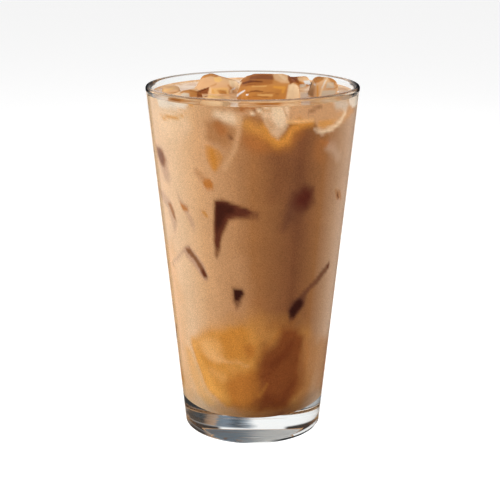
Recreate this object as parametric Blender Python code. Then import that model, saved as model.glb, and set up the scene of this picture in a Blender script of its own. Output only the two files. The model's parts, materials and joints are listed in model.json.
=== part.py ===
"""An iced latte in a straight-sided pint glass: the glass, the drink and the ice that stands out of it.

Metres, +Z up. The origin is the middle of the foot, on the table. -Y is the side seen in a front view.
"""

import math

import bmesh
import bpy
from mathutils import Euler, Matrix, Vector

# The glass
GLASS_HEIGHT = 0.149
RIM_RADIUS = 0.0445  # outside, at the very top
FOOT_RADIUS = 0.0297  # outside, where the wall's line would meet the table
HEEL_RADIUS = 0.0012  # rounding between wall and foot
RIM_WALL = 0.0025  # wall thickness at the rim, which is fully rounded
FLOOR_WALL = 0.0048  # wall thickness at the cup's floor
FLOOR_HEIGHT = 0.0095  # the thick base
FLOOR_CORNER = 0.0105  # rounding between wall and floor, inside
STANDING_RING = 0.0215  # inner radius of the flat ring that the glass stands on
PUNT_HEIGHT = 0.0015  # how far the underside rises inside that ring, as a shallow dome
PUNT_STEPS = 6

# The drink
FILL_LEVEL = 0.1455
GAP = 0.0003  # between solids that touch

# The ice: melted blocks with round edges
ICE_BEVEL_STEPS = 3

TURN_STEPS = 72
ARC_STEPS = 5

# Each block of ice: its middle, its size, its turn in degrees about X, Y and Z, how far its top leans in
# and narrows, as a share of its width: (shift in X, shift in Y, width left in X, width left in Y), and the
# rounding of its edges, as a share of its shortest side
ICE_BLOCKS = {
    "ice_centre": ((0.0054, -0.0190, 0.1430), (0.0275, 0.0310, 0.0228),
                   (2, -1, 3), (0.05, 0.03, 0.84, 0.86), 0.25),
    "ice_left": ((-0.0152, 0.0035, 0.1398), (0.0285, 0.0200, 0.0235),
                 (-5, 15, -10), (-0.03, 0.0, 0.50, 0.70), 0.12),
    "ice_front_left": ((-0.0260, -0.0185, 0.1420), (0.0140, 0.0115, 0.0140),
                       (8, -10, -50), (0.0, 0.0, 0.85, 0.85), 0.20),
    "ice_front": ((-0.0148, -0.0310, 0.1418), (0.0120, 0.0090, 0.0130),
                  (-5, 6, -26), (0.0, 0.0, 0.85, 0.85), 0.20),
    "ice_right": ((0.0292, -0.0065, 0.1434), (0.0178, 0.0145, 0.0182),
                  (0, 3, 8), (-0.01, 0.0, 0.46, 0.75), 0.15),
    "ice_back_right": ((0.0175, 0.0215, 0.1404), (0.0165, 0.0135, 0.0165),
                       (6, -5, -28), (0.0, 0.0, 0.80, 0.80), 0.15),
    "ice_far_left": ((-0.0342, 0.0050, 0.1426), (0.0085, 0.0150, 0.0092),
                     (0, 3, 6), (0.0, 0.0, 0.90, 0.90), 0.20),
    "ice_back_left": ((-0.0120, 0.0270, 0.1392), (0.0165, 0.0125, 0.0150),
                      (5, 7, 18), (0.0, 0.0, 0.80, 0.85), 0.20),
}

# Colour, roughness and how much light passes
GLASS_LOOK = ((0.93, 0.97, 0.96, 1.0), 0.0, 1.0)
LATTE_LOOK = ((0.60, 0.33, 0.13, 1.0), 0.25, 0.0)
ICE_LOOK = ((0.90, 0.78, 0.62, 1.0), 0.05, 1.0)


def clear_scene():
    for thing in list(bpy.data.objects):
        bpy.data.objects.remove(thing)


def make_material(name, look):
    """A Principled material from (colour, roughness, share of light that passes)."""
    colour, roughness, passes = look
    material = bpy.data.materials.new(name)
    material.use_nodes = True
    shader = material.node_tree.nodes["Principled BSDF"]
    shader.inputs["Base Color"].default_value = colour
    shader.inputs["Roughness"].default_value = roughness
    shader.inputs["Metallic"].default_value = 0.0
    shader.inputs["Transmission Weight"].default_value = passes
    return material


def add_object(name, mesh_builder, material):
    """Turns a bmesh into a named object with one material, shaded smooth away from sharp edges."""
    bmesh.ops.recalc_face_normals(mesh_builder, faces=mesh_builder.faces)
    mesh = bpy.data.meshes.new(name)
    mesh_builder.to_mesh(mesh)
    mesh_builder.free()
    mesh.materials.append(material)
    mesh.shade_smooth()
    mesh.set_sharp_from_angle(angle=math.radians(40))
    thing = bpy.data.objects.new(name, mesh)
    bpy.context.scene.collection.objects.link(thing)
    return thing


def wall_radius(height):
    """Outside radius of the straight wall's line at a height."""
    return FOOT_RADIUS + (RIM_RADIUS - FOOT_RADIUS) * height / GLASS_HEIGHT


def wall_thickness(height):
    """Wall thickness at a height: it grows evenly from the rim down to the cup's floor."""
    share = (GLASS_HEIGHT - height) / (GLASS_HEIGHT - FLOOR_HEIGHT)
    return RIM_WALL + (FLOOR_WALL - RIM_WALL) * share


def inner_radius(height):
    return wall_radius(height) - wall_thickness(height)


def arc(centre, radius, start, end, steps=ARC_STEPS):
    """Points (r, z) on an arc, from start to end in degrees, both ends included."""
    angles = (math.radians(start + (end - start) * n / steps) for n in range(steps + 1))
    return [(centre[0] + radius * math.cos(a), centre[1] + radius * math.sin(a)) for a in angles]


def glass_profile():
    """Half section of the glass, from the middle of the underside, round the outside, to the cup's floor."""
    lean = math.degrees(math.atan((RIM_RADIUS - FOOT_RADIUS) / GLASS_HEIGHT))
    heel_centre = (wall_radius(HEEL_RADIUS) - HEEL_RADIUS / math.cos(math.radians(lean)), HEEL_RADIUS)
    rim = RIM_WALL / 2
    rim_centre = (wall_radius(GLASS_HEIGHT - rim) - rim, GLASS_HEIGHT - rim)
    corner_height = FLOOR_HEIGHT + FLOOR_CORNER
    corner_centre = (inner_radius(corner_height) - FLOOR_CORNER, corner_height)
    shares = (n / PUNT_STEPS for n in range(PUNT_STEPS + 1))
    points = [(STANDING_RING * share, PUNT_HEIGHT * (1 - share ** 2)) for share in shares]
    points += arc(heel_centre, HEEL_RADIUS, -90, -lean)
    points += arc(rim_centre, rim, -lean, 180 - lean, steps=8)
    points += arc(corner_centre, FLOOR_CORNER, -lean, -90)
    points.append((0.0, FLOOR_HEIGHT))
    return points


def latte_profile():
    """Half section of the drink, a gap inside the glass, from the middle of its underside to its surface."""
    corner_height = FLOOR_HEIGHT + FLOOR_CORNER
    lean = math.degrees(math.atan((inner_radius(GLASS_HEIGHT) - inner_radius(corner_height))
                                  / (GLASS_HEIGHT - corner_height)))
    corner_centre = (inner_radius(corner_height) - FLOOR_CORNER, corner_height)
    points = [(0.0, FLOOR_HEIGHT + GAP)]
    points += arc(corner_centre, FLOOR_CORNER - GAP, -90, -lean)
    points += [(inner_radius(FILL_LEVEL) - GAP, FILL_LEVEL), (0.0, FILL_LEVEL)]
    return points


def turn(profile):
    """A closed body of revolution about Z from a half section whose two ends lie on the axis."""
    body = bmesh.new()
    corners = [body.verts.new((radius, 0.0, height)) for radius, height in profile]
    edges = [body.edges.new(pair) for pair in zip(corners, corners[1:])]
    bmesh.ops.spin(body, geom=corners + edges, cent=(0, 0, 0), axis=(0, 0, 1),
                   angle=math.tau, steps=TURN_STEPS, use_merge=True)
    bmesh.ops.remove_doubles(body, verts=body.verts, dist=1e-6)
    return body


def ice_block(middle, size, turned, lean, rounding, grow=0.0):
    """A block of ice with melted edges, or, with grow, the hollow that it needs in the drink."""
    body = bmesh.new()
    bmesh.ops.create_cube(body, size=1.0)
    shift_x, shift_y, narrow_x, narrow_y = lean
    for corner in body.verts:
        top = corner.co.z > 0
        corner.co.x = corner.co.x * (narrow_x if top else 1.0) + (shift_x if top else 0.0)
        corner.co.y = corner.co.y * (narrow_y if top else 1.0) + (shift_y if top else 0.0)
        corner.co = Vector(side * length for side, length in zip(corner.co, size))
    bmesh.ops.bevel(body, geom=list(body.edges), affect="EDGES", offset=rounding * min(size),
                    segments=ICE_BEVEL_STEPS, profile=0.5, clamp_overlap=True)
    bmesh.ops.recalc_face_normals(body, faces=body.faces)
    body.normal_update()
    for corner in body.verts:
        corner.co += corner.normal * grow
    place = Matrix.Translation(middle) @ Euler([math.radians(a) for a in turned]).to_matrix().to_4x4()
    bmesh.ops.transform(body, matrix=place, verts=body.verts)
    return body


def cut_pockets(drink, cutters):
    """Cuts one hollow for each block of ice out of the drink."""
    for cutter in cutters:
        cut = drink.modifiers.new(cutter.name, "BOOLEAN")
        cut.operation = "DIFFERENCE"
        cut.solver = "EXACT"
        cut.object = cutter
        cutter.hide_render = True
        cutter.display_type = "WIRE"


def main():
    clear_scene()
    glass = make_material("glass", GLASS_LOOK)
    latte = make_material("latte", LATTE_LOOK)
    ice = make_material("ice", ICE_LOOK)
    add_object("glass", turn(glass_profile()), glass)
    drink = add_object("latte", turn(latte_profile()), latte)
    cutters = []
    for name, shape in ICE_BLOCKS.items():
        add_object(name, ice_block(*shape), ice)
        cutters.append(add_object("pocket_for_" + name, ice_block(*shape, grow=GAP), ice))
    cut_pockets(drink, cutters)


main()
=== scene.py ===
# %% [markdown]
# # An iced latte in a pint glass
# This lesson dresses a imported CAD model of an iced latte: a clear, straight-sided pint glass, milky coffee
# up to its brim, and melting ice that stands out of it. The CAD model is plain and faceted. Here every
# piece gets its smooth surface and its finish, and the scene gets its light and its camera.

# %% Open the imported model
import json
import math

import bmesh
import bpy
import mathutils
import numpy as np
from mathutils import Euler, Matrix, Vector

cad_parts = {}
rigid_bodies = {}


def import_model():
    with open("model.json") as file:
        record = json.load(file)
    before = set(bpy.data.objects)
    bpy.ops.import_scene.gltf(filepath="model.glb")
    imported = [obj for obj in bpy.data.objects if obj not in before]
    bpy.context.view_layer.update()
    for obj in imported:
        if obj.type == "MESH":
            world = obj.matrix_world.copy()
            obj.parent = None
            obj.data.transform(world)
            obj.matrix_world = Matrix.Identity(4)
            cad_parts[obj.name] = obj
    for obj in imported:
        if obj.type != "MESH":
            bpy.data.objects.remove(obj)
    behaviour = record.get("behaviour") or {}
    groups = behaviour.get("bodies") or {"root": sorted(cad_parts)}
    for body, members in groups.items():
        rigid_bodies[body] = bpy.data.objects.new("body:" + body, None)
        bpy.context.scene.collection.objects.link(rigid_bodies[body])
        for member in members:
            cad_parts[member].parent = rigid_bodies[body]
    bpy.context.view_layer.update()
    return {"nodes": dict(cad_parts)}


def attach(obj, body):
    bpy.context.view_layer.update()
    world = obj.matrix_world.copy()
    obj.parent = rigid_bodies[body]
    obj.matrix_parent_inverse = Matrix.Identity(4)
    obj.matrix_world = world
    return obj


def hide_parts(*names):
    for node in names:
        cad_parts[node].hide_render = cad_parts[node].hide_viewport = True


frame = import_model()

ICE_NODES = [name for name in frame["nodes"] if name.startswith("ice")]
print("CAD nodes:", ", ".join(sorted(frame["nodes"])))

# %% [markdown]
# Blender's operators act on whatever is selected, so each step starts from one selected piece. These
# helpers pick a piece, open it for editing and pick faces or edges by a rule about where they lie.

# %% Helpers for picking and editing
NEAR = 0.0002  # how close counts as the same place, in metres


def pick(piece):
    """Only this piece is selected, and it is the active one."""
    bpy.ops.object.select_all(action="DESELECT")
    piece.select_set(True)
    bpy.context.view_layer.objects.active = piece
    return piece


def start_editing(piece):
    pick(piece)
    bpy.ops.object.mode_set(mode="EDIT")
    bpy.ops.mesh.select_all(action="DESELECT")


def stop_editing():
    bpy.ops.object.mode_set(mode="OBJECT")


def select_faces(piece, rule):
    """In edit mode, selects the faces whose middle and normal obey the rule, and counts them."""
    bpy.ops.mesh.select_all(action="DESELECT")
    bpy.ops.mesh.select_mode(type="FACE")
    shape = bmesh.from_edit_mesh(piece.data)
    for face in shape.faces:
        face.select_set(rule(face.calc_center_median(), face.normal))
    bmesh.update_edit_mesh(piece.data)
    return sum(face.select for face in shape.faces)


def select_ring(piece, radius, height):
    """In edit mode, selects the ring of edges at a radius and a height, and counts them."""
    bpy.ops.mesh.select_all(action="DESELECT")
    bpy.ops.mesh.select_mode(type="EDGE")
    shape = bmesh.from_edit_mesh(piece.data)
    for edge in shape.edges:
        level = all(abs(corner.co.z - height) < NEAR for corner in edge.verts)
        on_ring = all(abs(corner.co.xy.length - radius) < NEAR for corner in edge.verts)
        edge.select_set(level and on_ring)
    bmesh.update_edit_mesh(piece.data)
    return sum(edge.select for edge in shape.edges)


def apply_modifier(piece, kind, **settings):
    """Adds a modifier, sets it and applies it."""
    pick(piece)
    bpy.ops.object.modifier_add(type=kind)
    modifier = piece.modifiers[-1]
    for name, value in settings.items():
        setattr(modifier, name, value)
    bpy.ops.object.modifier_apply(modifier=modifier.name)


def settle(piece, name):
    """Names a piece and puts its place, turn and size into its mesh. Its object then sits at the origin."""
    pick(piece)
    piece.name = name
    piece.data.name = name
    bpy.ops.object.transform_apply(location=True, rotation=True, scale=True)
    return piece


# %% [markdown]
# ## The glass
# A pint glass is pressed in a mould: a straight wall that widens upwards, a thick clear base, and a rim
# that a flame has melted round. A cone without its point already has the wall's slope, so the glass starts
# as one. Its lid is inset and pushed down to make the inside, which leaves one closed wall.

# %% The glass's sizes
GLASS_HEIGHT = 0.149
RIM_RADIUS = 0.0445
FOOT_RADIUS = 0.0297
HEEL_ROUNDING = 0.0012
RIM_WALL = 0.0025
FLOOR_WALL = 0.0048
FLOOR_HEIGHT = 0.0095
FLOOR_ROUNDING = 0.0105
STANDING_RING = 0.0215
PUNT_HEIGHT = 0.0015
PUNT_STEPS = 8
ROUND_STEPS = 160
RIM_ROUNDING = RIM_WALL * 0.497  # a little under half, so that the two roundings don't meet
RIM_STEPS = 8
CORNER_STEPS = 10


def wall_radius(height):
    """Outside radius of the wall at a height."""
    return FOOT_RADIUS + (RIM_RADIUS - FOOT_RADIUS) * height / GLASS_HEIGHT


def inner_radius(height):
    """Inside radius of the wall, which thickens evenly towards the base."""
    share = (GLASS_HEIGHT - height) / (GLASS_HEIGHT - FLOOR_HEIGHT)
    return wall_radius(height) - RIM_WALL - (FLOOR_WALL - RIM_WALL) * share


print("inside radius at the rim and the floor:", inner_radius(GLASS_HEIGHT), inner_radius(FLOOR_HEIGHT))

# %% Model the glass
bpy.ops.object.select_all(action="DESELECT")
bpy.ops.mesh.primitive_cone_add(vertices=ROUND_STEPS, radius1=FOOT_RADIUS, radius2=RIM_RADIUS,
                                depth=GLASS_HEIGHT, location=(0, 0, GLASS_HEIGHT / 2))
pint = settle(bpy.context.object, "pint_glass")
start_editing(pint)
select_faces(pint, lambda middle, normal: middle.z > GLASS_HEIGHT - NEAR)
bpy.ops.mesh.inset(thickness=RIM_WALL)
bpy.ops.mesh.extrude_region_move(TRANSFORM_OT_translate={"value": (0, 0, FLOOR_HEIGHT - GLASS_HEIGHT)})
narrowing = inner_radius(FLOOR_HEIGHT) / (RIM_RADIUS - RIM_WALL)
bpy.ops.transform.resize(value=(narrowing, narrowing, 1), center_override=(0, 0, FLOOR_HEIGHT))
print("the cup's floor is at", FLOOR_HEIGHT, "m")

# %% [markdown]
# Real glass has no sharp edge, and a round edge catches the light. A bevel rounds each ring of edges. The
# underside is then inset ring by ring, and each ring is raised a little more, which makes a shallow dome.

# %% Round the rim, the heel and the inside corner
for radius in (RIM_RADIUS, RIM_RADIUS - RIM_WALL):
    select_ring(pint, radius, GLASS_HEIGHT)
    bpy.ops.mesh.bevel(offset=RIM_ROUNDING, segments=RIM_STEPS, affect="EDGES")
select_ring(pint, FOOT_RADIUS, 0.0)
bpy.ops.mesh.bevel(offset=HEEL_ROUNDING, segments=CORNER_STEPS, affect="EDGES")
select_ring(pint, inner_radius(FLOOR_HEIGHT), FLOOR_HEIGHT)
bpy.ops.mesh.bevel(offset=FLOOR_ROUNDING, segments=CORNER_STEPS, affect="EDGES")
select_faces(pint, lambda middle, normal: middle.z < NEAR and middle.xy.length < NEAR)
bpy.ops.mesh.inset(thickness=FOOT_RADIUS - HEEL_ROUNDING - STANDING_RING)
for step in range(PUNT_STEPS, 1, -1):
    rise = PUNT_HEIGHT * (step ** 2 - (step - 1) ** 2) / PUNT_STEPS ** 2
    bpy.ops.mesh.inset(thickness=STANDING_RING / PUNT_STEPS, depth=-rise)
stop_editing()
bpy.ops.object.shade_smooth()
apply_modifier(pint, "WEIGHTED_NORMAL", weight=100)
print("pint_glass has", len(pint.data.polygons), "faces")

# %% [markdown]
# ## The ice that stands out of the drink
# The ice was cubes once. It has melted into smooth, uneven lumps. Each CAD block already has the right
# size and place, so a copy of it is the start. Its loose triangles are joined, an even skin of small faces
# is laid over it, and a cloud texture pushes the skin in and out the way melting does.

# %% Melt each block
ICE_SKIN = 0.00045
MELT_DEPTH = 0.0009
MELT_SIZE = 0.009
MELT_MIDDLE = 0.6  # above a half, the skin moves in more than out


def melting_block(node_name):
    """A melted lump with the size and place of a CAD block."""
    pick(frame["nodes"][node_name])
    bpy.ops.object.duplicate()
    lump = bpy.context.object
    bpy.ops.object.parent_clear(type="CLEAR_KEEP_TRANSFORM")
    start_editing(lump)
    bpy.ops.mesh.select_all(action="SELECT")
    bpy.ops.mesh.remove_doubles(threshold=1e-6)
    stop_editing()
    apply_modifier(lump, "REMESH", mode="VOXEL", voxel_size=ICE_SKIN)
    clouds = bpy.data.textures.new("melt", "CLOUDS")
    clouds.noise_scale = MELT_SIZE
    apply_modifier(lump, "DISPLACE", texture=clouds, texture_coords="GLOBAL", strength=MELT_DEPTH,
                   mid_level=MELT_MIDDLE)
    apply_modifier(lump, "SMOOTH", factor=0.5, iterations=2)
    bpy.ops.object.shade_smooth()
    return settle(lump, "melting_" + node_name)


lumps = {name: melting_block(name) for name in sorted(ICE_NODES)}
print("melted", len(lumps), "blocks, with", sum(len(lump.data.polygons) for lump in lumps.values()), "faces")

# %% [markdown]
# ## The drink
# The coffee fills the glass and touches it all round. A gap of air, even a thin one, would show as a
# silvery skin, so the drink reaches a tenth of a millimetre into the wall. It climbs a little at its edge,
# where it wets the glass, and it has a hollow for each block of ice.

# %% Model the drink
FILL_LEVEL = 0.1455
REACH = 0.00012
CLIMB = 0.0006
CLIMB_WIDTH = 0.0013
STEEP_SHARE = 0.4  # how much of the climb's width its steep outer part takes
EASY_SHARE = 0.3  # how much of the climb's height its inner part has
CUTTER_DETAIL = 0.3
DRINK_STEPS = 400
WALL_ROWS = 215

bpy.ops.object.select_all(action="DESELECT")
bottom_radius = inner_radius(FLOOR_HEIGHT) + REACH
top_radius = inner_radius(FILL_LEVEL) + REACH
bpy.ops.mesh.primitive_cone_add(vertices=DRINK_STEPS, radius1=bottom_radius, radius2=top_radius,
                                depth=FILL_LEVEL - FLOOR_HEIGHT + REACH,
                                location=(0, 0, (FILL_LEVEL + FLOOR_HEIGHT - REACH) / 2))
drink = settle(bpy.context.object, "milky_coffee")
start_editing(drink)
select_ring(drink, bottom_radius, FLOOR_HEIGHT - REACH)
bpy.ops.mesh.bevel(offset=FLOOR_ROUNDING, segments=CORNER_STEPS, affect="EDGES")
select_faces(drink, lambda middle, normal: middle.z > FILL_LEVEL - NEAR)
bpy.ops.mesh.inset(thickness=CLIMB_WIDTH * STEEP_SHARE)
bpy.ops.mesh.inset(thickness=CLIMB_WIDTH * (1 - STEEP_SHARE))
select_ring(drink, top_radius, FILL_LEVEL)
bpy.ops.transform.translate(value=(0, 0, CLIMB))
select_ring(drink, top_radius - CLIMB_WIDTH * STEEP_SHARE, FILL_LEVEL)
bpy.ops.transform.translate(value=(0, 0, CLIMB * EASY_SHARE))
stop_editing()
print("the drink's surface is at", FILL_LEVEL, "m and climbs", CLIMB, "m at the glass")


# %% Cut a hollow for each block of ice
def cut_hollow(body, lump):
    """Cuts the lump, a little smaller, out of the body, so that the coffee touches the ice."""
    pick(lump)
    bpy.ops.object.duplicate()
    cutter = bpy.context.object
    apply_modifier(cutter, "DISPLACE", strength=-REACH, mid_level=0.0)
    apply_modifier(cutter, "DECIMATE", ratio=CUTTER_DETAIL)
    apply_modifier(body, "BOOLEAN", operation="DIFFERENCE", solver="EXACT", object=cutter)
    bpy.data.objects.remove(cutter)


for lump in lumps.values():
    cut_hollow(drink, lump)
print("hollows cut:", len(lumps))

# %% [markdown]
# The coffee's colours are painted on its mesh, point by point, so the wall needs many small faces. Its
# long upright edges are cut into rows once the hollows are done, which keeps the Boolean cuts quick.

# %% Cut the wall into rows
LONG = 0.1


def long_upright(edge):
    low, high = sorted(corner.co.z for corner in edge.verts)
    return high - low > LONG


start_editing(drink)
bpy.ops.mesh.select_mode(type="EDGE")
shape = bmesh.from_edit_mesh(drink.data)
for edge in shape.edges:
    edge.select_set(long_upright(edge))
print("upright edges:", sum(edge.select for edge in shape.edges))
bmesh.update_edit_mesh(drink.data)
bpy.ops.mesh.subdivide(number_cuts=WALL_ROWS - 1)
stop_editing()
bpy.ops.object.shade_smooth_by_angle(angle=math.radians(40))
print("milky_coffee has", len(drink.data.polygons), "faces")

# %% [markdown]
# ## Materials
# A material is a net of nodes: each node works out one thing and passes it on. These short functions add
# one node each and give back its result, so that a finish reads like a sum.

# %% Short ways to add shader nodes
def new_material(name):
    """A new material, its node tree and its Principled shader."""
    material = bpy.data.materials.new(name)
    material.use_nodes = True
    return material, material.node_tree, material.node_tree.nodes["Principled BSDF"]


def dress(piece, *materials):
    """Takes the materials that a piece has off it and gives it these."""
    piece.data.materials.clear()
    for material in materials:
        piece.data.materials.append(material)


def set_values(node, values):
    for name, value in values.items():
        node.inputs[name].default_value = value


def join(tree, value, socket):
    """Links a node's output to a socket, or sets the socket to a plain number or colour."""
    if isinstance(value, bpy.types.NodeSocket):
        tree.links.new(value, socket)
    else:
        socket.default_value = (*value, 1) if isinstance(value, tuple) else value


def maths(tree, operation, *terms):
    """A Math node over sockets or plain numbers."""
    node = tree.nodes.new("ShaderNodeMath")
    node.operation = operation
    for term, socket in zip(terms, node.inputs):
        join(tree, term, socket)
    return node.outputs["Value"]


def product(tree, result, *others):
    """Multiplies any number of sockets."""
    for other in others:
        result = maths(tree, "MULTIPLY", result, other)
    return result


def fade(tree, value, start, end, low=0.0, high=1.0, easing="SMOOTHSTEP"):
    """Blends from low to high while the value goes from start to end."""
    node = tree.nodes.new("ShaderNodeMapRange")
    node.interpolation_type = easing
    set_values(node, {"From Min": start, "From Max": end, "To Min": low, "To Max": high})
    join(tree, value, node.inputs["Value"])
    return node.outputs["Result"]


def blend(tree, share, first, second):
    """Mixes two colours by a share."""
    node = tree.nodes.new("ShaderNodeMix")
    node.data_type = "RGBA"
    join(tree, share, node.inputs["Factor"])
    join(tree, first, node.inputs[6])
    join(tree, second, node.inputs[7])
    return node.outputs[2]


def mixed(tree, share, first, second):
    """Mixes two shaders by a share."""
    node = tree.nodes.new("ShaderNodeMixShader")
    for value, socket in zip((share, first, second), node.inputs):
        join(tree, value, socket)
    return node.outputs["Shader"]


def noise(tree, place, scale, detail, stretch=(1.0, 1.0, 1.0)):
    """An uneven pattern over the place, drawn out along the directions that stretch makes small."""
    mapping = tree.nodes.new("ShaderNodeMapping")
    mapping.inputs["Scale"].default_value = stretch
    texture = tree.nodes.new("ShaderNodeTexNoise")
    set_values(texture, {"Scale": scale, "Detail": detail})
    join(tree, place, mapping.inputs["Vector"])
    join(tree, mapping.outputs["Vector"], texture.inputs["Vector"])
    return texture.outputs["Fac"]


def where(tree, kind="Object"):
    """The place that is being shaded, whole and as its x, y and z."""
    place = tree.nodes.new("ShaderNodeTexCoord").outputs[kind]
    parts = tree.nodes.new("ShaderNodeSeparateXYZ")
    join(tree, place, parts.inputs["Vector"])
    return place, *parts.outputs


def paint_of(tree, name):
    """The colours that are painted on the mesh under a name."""
    paint = tree.nodes.new("ShaderNodeAttribute")
    paint.attribute_name = name
    return paint.outputs["Color"]


# %% [markdown]
# Glass passes light, so it is a Principled shader with full transmission. Lamps can't shine through such a
# shader in this renderer, and the drink behind it would stay black. So for the rays that only ask whether
# a lamp is in sight, the material is clear.
#
# The round lip sends our view sideways, into the dark part of the studio. Its tone is a painted reflection
# of
# that dark: darker, and nearly black at the left and right ends. The heel's front edge gets the same painted
# reflection of the dark studio, from the middle to the right. One colour over the whole glass can't do that,
# so the tone goes by the place on the glass, and where it is nearly black a plain dark shader takes over,
# which shows no reflection.

# %% The clear glass
GLASS_REFRACTION = 1.5
GLASS_TONE = (0.97, 0.99, 0.985)
LIP_REFLECTED_DARK = (0.26, 0.20, 0.16)
LIP_END_REFLECTED_DARK = (0.004, 0.004, 0.005)
HEEL_REFLECTED_DARK = (0.01, 0.01, 0.012)
LIP_DEPTH = 0.0007
LIP_END_DEPTH = 0.0021
LIP_SOFTNESS = 0.0004
# Each pair is where a tone starts and where it has changed, in metres
LIP_ENDS = (RIM_RADIUS * 0.89, RIM_RADIUS * 0.985)
HEEL_TOP = (0.0011, 0.00154)
HEEL_START = (0.004, 0.014)
HEEL_END = (0.0255, 0.0275)
HEEL_INSIDE = (0.0276 ** 2, 0.0280 ** 2)  # radius, squared
HEEL_FRONT = (-0.010, -0.008)

glass_finish, tree, shader = new_material("clear_glass")
set_values(shader, {"Roughness": 0.0, "IOR": GLASS_REFRACTION, "Transmission Weight": 1.0})
place, x, y, z = where(tree)
at_ends = fade(tree, maths(tree, "ABSOLUTE", x), *LIP_ENDS)
depth = maths(tree, "MULTIPLY_ADD", at_ends, LIP_END_DEPTH - LIP_DEPTH, LIP_DEPTH)
above = maths(tree, "ADD", maths(tree, "SUBTRACT", z, GLASS_HEIGHT), depth)
on_lip = fade(tree, above, 0.0, LIP_SOFTNESS)
radius_squared = maths(tree, "ADD", product(tree, x, x), product(tree, y, y))
on_heel = product(tree, fade(tree, z, *HEEL_TOP, 1.0, 0.0), fade(tree, x, *HEEL_START),
                  fade(tree, x, *HEEL_END, 1.0, 0.0), fade(tree, radius_squared, *HEEL_INSIDE),
                  fade(tree, y, *HEEL_FRONT, 1.0, 0.0))
# the painted reflection of the dark studio: darker on the lip, nearly black at its ends and on the heel
lip_reflected_dark = blend(tree, at_ends, LIP_REFLECTED_DARK, LIP_END_REFLECTED_DARK)
tone = blend(tree, on_lip, blend(tree, on_heel, GLASS_TONE, HEEL_REFLECTED_DARK), lip_reflected_dark)
join(tree, tone, shader.inputs["Base Color"])
dark = tree.nodes.new("ShaderNodeBsdfDiffuse")
join(tree, LIP_END_REFLECTED_DARK, dark.inputs["Color"])
open_way = tree.nodes.new("ShaderNodeBsdfTransparent")
join(tree, GLASS_TONE, open_way.inputs["Color"])
dark_share = maths(tree, "MAXIMUM", product(tree, on_lip, at_ends), on_heel)
seen = mixed(tree, dark_share, shader.outputs["BSDF"], dark.outputs["BSDF"])
to_a_lamp = tree.nodes.new("ShaderNodeLightPath").outputs["Is Shadow Ray"]
finish = mixed(tree, to_a_lamp, seen, open_way.outputs["BSDF"])
join(tree, finish, tree.nodes["Material Output"].inputs["Surface"])
dress(pint, glass_finish)
print("the pint glass has its finish:", glass_finish.name)

# %% [markdown]
# ## The coffee
# The photo shows the coffee through the wall, which bends our view. To paint a mark where the photo shows
# it, a ray is sent from the camera through the photo's pixel, bent at the wall as glass bends light, and
# followed to the coffee.

# %% From a place in the photo to a place on the coffee
CAMERA_DISTANCE = 0.50
CAMERA_HEIGHT = 0.2189
CAMERA_ASIDE = -0.0011
CAMERA_PITCH = 15.80
FOCAL_PIXELS = 1206.0
IMAGE_PIXELS = 500.0
CAMERA_TURN = Euler((math.radians(90 - CAMERA_PITCH), 0, 0))
CAMERA_PLACE = Vector((CAMERA_ASIDE, -CAMERA_DISTANCE, CAMERA_HEIGHT))


def meet_wall(start, along, wall):
    """Where a ray first meets, or passes nearest to, a round wall that gives its radius at a height."""
    foot, slope = wall(0.0), (wall(GLASS_HEIGHT) - wall(0.0)) / GLASS_HEIGHT
    here = foot + slope * start.z
    square = along.x ** 2 + along.y ** 2 - (slope * along.z) ** 2
    half = start.x * along.x + start.y * along.y - slope * along.z * here
    rest = start.x ** 2 + start.y ** 2 - here ** 2
    return start + along * (-half - math.sqrt(max(half ** 2 - square * rest, 0.0))) / square


def seen_at(across, down):
    """The place on the drink's side that the photo shows at a pixel: (mm round from the front, mm up)."""
    middle = IMAGE_PIXELS / 2
    ray = (CAMERA_TURN.to_matrix() @ Vector((across - middle, middle - down, -FOCAL_PIXELS))).normalized()
    outside = meet_wall(CAMERA_PLACE, ray, wall_radius)
    wall_slope = (RIM_RADIUS - FOOT_RADIUS) / GLASS_HEIGHT
    normal = Vector((outside.x, outside.y, -wall_slope * outside.xy.length)).normalized()
    facing = max(-ray.dot(normal), 0.0)
    bent = math.sqrt(1 - (1 - facing ** 2) / GLASS_REFRACTION ** 2)
    inside = ray / GLASS_REFRACTION + normal * (facing / GLASS_REFRACTION - bent)
    return on_side(*angle_and_height(meet_wall(outside, inside, inner_radius)))


def angle_and_height(place):
    return math.degrees(math.atan2(place.x, -place.y)), place.z * 1000


def on_side(angle, height):
    """A place on the drink's side as (mm round the side from the front, mm up)."""
    return np.array((math.radians(angle) * inner_radius(height / 1000) * 1000, height))


HOOK_PIXEL = (219, 222)
print("the dark hook is on the coffee at", seen_at(*HOOK_PIXEL).round(1), "mm")

# %% [markdown]
# The tones below are as the photo shows them. Coffee and milk mix unevenly, and the paint holds light and
# shade as well: the drink is pale at the left as painted light, strong right of the middle with painted
# shade, and amber near the bottom where coffee settled. Dark marks are painted shade: ice that comes close
# to the glass lets us look deep into the drink, where little light reaches.

# %% The tones of the coffee
def colour(red, green, blue):
    """Screen colour, each channel 11 to 255, as the linear values that a shader takes."""
    return tuple(((channel / 255 + 0.055) / 1.055) ** 2.4 for channel in (red, green, blue))


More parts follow.
